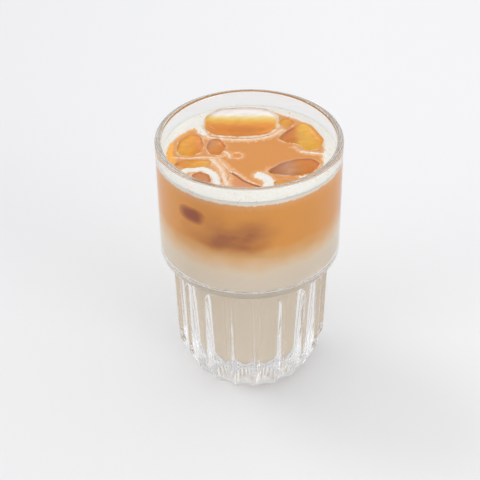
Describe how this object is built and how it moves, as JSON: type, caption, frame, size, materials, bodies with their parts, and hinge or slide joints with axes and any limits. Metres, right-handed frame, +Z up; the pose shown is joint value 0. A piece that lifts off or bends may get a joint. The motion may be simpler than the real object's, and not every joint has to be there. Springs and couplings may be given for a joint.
{
  "type": "iced latte in a glass",
  "caption": "Layered iced milk coffee in a clear stacking tumbler with a smooth upper band, a fluted lower body and blocks of ice at the surface.",
  "frame": {"origin": "centre of the foot, on the surface the glass stands on", "axes": "+Z up along the glass's axis, -Y the side that faces the viewer"},
  "size_m": [0.085, 0.085, 0.126],
  "materials": {
    "clear_glass": "clear pressed glass, fire polished",
    "milk": "liquid milk, pale beige",
    "coffee": "milky coffee, caramel",
    "foam": "fine milk foam",
    "ice": "clear melting ice"
  },
  "bodies": {
    "root": {"glass": "clear_glass", "milk": "milk", "coffee": "coffee", "foam": "foam", "ice_back": "ice", "ice_right": "ice", "ice_front_right": "ice", "ice_left": "ice", "ice_left_inner": "ice", "ice_left_strip": "ice", "ice_front_left": "ice", "ice_back_small": "ice", "ice_front_small": "ice"}
  },
  "joints": []
}
